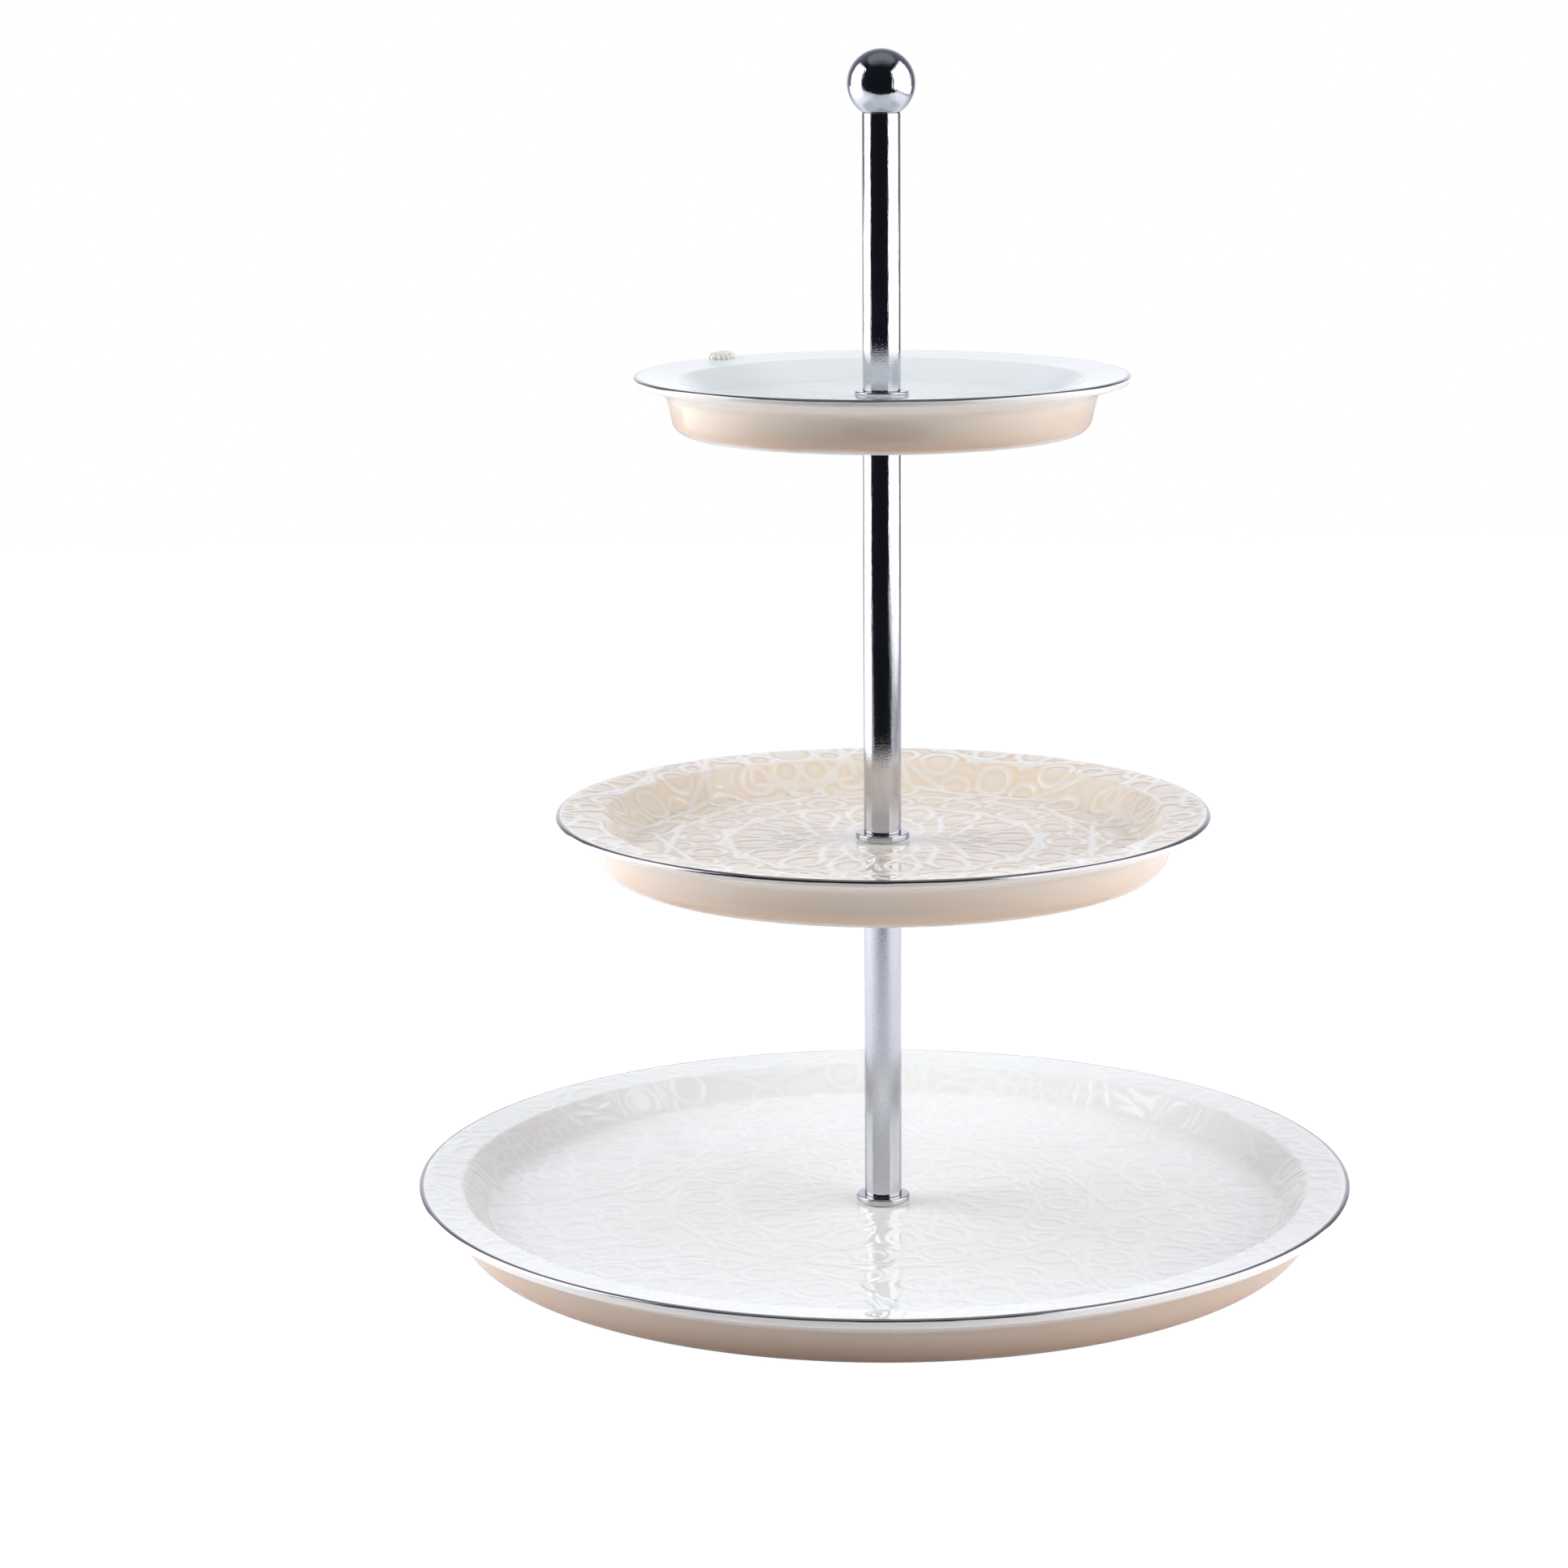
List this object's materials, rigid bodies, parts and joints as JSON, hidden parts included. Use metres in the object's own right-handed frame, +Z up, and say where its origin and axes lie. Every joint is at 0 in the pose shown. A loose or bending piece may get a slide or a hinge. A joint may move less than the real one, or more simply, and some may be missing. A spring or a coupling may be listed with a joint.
{
  "type": "tiered cake stand",
  "caption": "Take-apart cake stand: round porcelain plates of falling size threaded on a chrome column with a ball finial.",
  "frame": {"origin": "on the column's axis at the height of the table, under the foot ring's centre", "axes": "+Z up along the column; -Y is the front, and the rim ornament is at the back left (-X, +Y)"},
  "size_m": [0.3008, 0.3008, 0.3788],
  "materials": {
    "bottom_glaze": "gloss white glaze over moulded relief, blush outer wall, platinum lip line",
    "middle_glaze": "gloss cream glaze pooled tan in the relief, platinum lip line",
    "top_glaze": "plain gloss pale glaze, blush outer wall, platinum lip line",
    "gilded_sprig": "white glaze with a gilded cap",
    "rod_chrome": "mirror chrome",
    "collar_chrome": "mirror chrome",
    "ball_chrome": "mirror chrome",
    "steel_thread": "zinc-plated threaded steel",
    "steel_washer": "zinc-plated steel",
    "brass_insert": "turned brass",
    "soft_washer": "translucent soft plastic"
  },
  "bodies": {
    "base": {"bottom_plate": "bottom_glaze", "base_screw": "steel_thread", "base_washer": "steel_washer", "base_soft_washer": "soft_washer", "bottom_gasket": "soft_washer", "bottom_collar": "collar_chrome", "lower_rod": "rod_chrome", "lower_rod_foot_insert": "brass_insert", "lower_rod_head_insert": "brass_insert", "middle_washer": "steel_washer", "middle_lower_gasket": "soft_washer"},
    "middle_tier": {"middle_plate": "middle_glaze", "middle_upper_gasket": "soft_washer", "middle_collar": "collar_chrome"},
    "middle_thread": {"middle_stud": "steel_thread"},
    "middle_column": {"middle_rod": "rod_chrome", "middle_rod_foot_insert": "brass_insert", "middle_rod_head_insert": "brass_insert", "top_washer": "steel_washer", "top_lower_gasket": "soft_washer"},
    "top_tier": {"top_plate": "top_glaze", "rim_ornament": "gilded_sprig", "top_upper_gasket": "soft_washer", "top_collar": "collar_chrome"},
    "top_thread": {"top_stud": "steel_thread"},
    "upper_column": {"upper_rod": "rod_chrome", "upper_rod_foot_insert": "brass_insert", "upper_rod_head_insert": "brass_insert"},
    "finial_thread": {"finial_stud": "steel_thread"},
    "finial": {"ball_finial": "ball_chrome"}
  },
  "joints": [
    {"name": "middle_plate_turn", "type": "hinge", "parent": "base", "child": "middle_tier", "pos_m": [0, 0, 0.1247], "axis": [0, 0, 1], "continuous": true},
    {"name": "middle_rod_rise", "type": "slide", "parent": "base", "child": "middle_thread", "axis": [0, 0, 1], "range_m": [0, 0.005]},
    {"name": "middle_rod_unscrew", "type": "hinge", "parent": "middle_thread", "child": "middle_column", "pos_m": [0, 0, 0.1322], "axis": [0, 0, 1], "range_deg": [0, 1800]},
    {"name": "top_plate_turn", "type": "hinge", "parent": "middle_column", "child": "top_tier", "pos_m": [0, 0, 0.26585], "axis": [0, 0, 1], "continuous": true},
    {"name": "upper_rod_rise", "type": "slide", "parent": "middle_column", "child": "top_thread", "axis": [0, 0, 1], "range_m": [0, 0.005]},
    {"name": "upper_rod_unscrew", "type": "hinge", "parent": "top_thread", "child": "upper_column", "pos_m": [0, 0, 0.27335], "axis": [0, 0, 1], "range_deg": [0, 1800]},
    {"name": "finial_rise", "type": "slide", "parent": "upper_column", "child": "finial_thread", "axis": [0, 0, 1], "range_m": [0, 0.005]},
    {"name": "finial_unscrew", "type": "hinge", "parent": "finial_thread", "child": "finial", "pos_m": [0, 0, 0.3592], "axis": [0, 0, 1], "range_deg": [0, 1800]}
  ],
  "couplings": [
    {"joint": "middle_rod_unscrew", "follows": "middle_rod_rise", "rad_per_m": 6283.2},
    {"joint": "upper_rod_unscrew", "follows": "upper_rod_rise", "rad_per_m": 6283.2},
    {"joint": "finial_unscrew", "follows": "finial_rise", "rad_per_m": 6283.2}
  ]
}
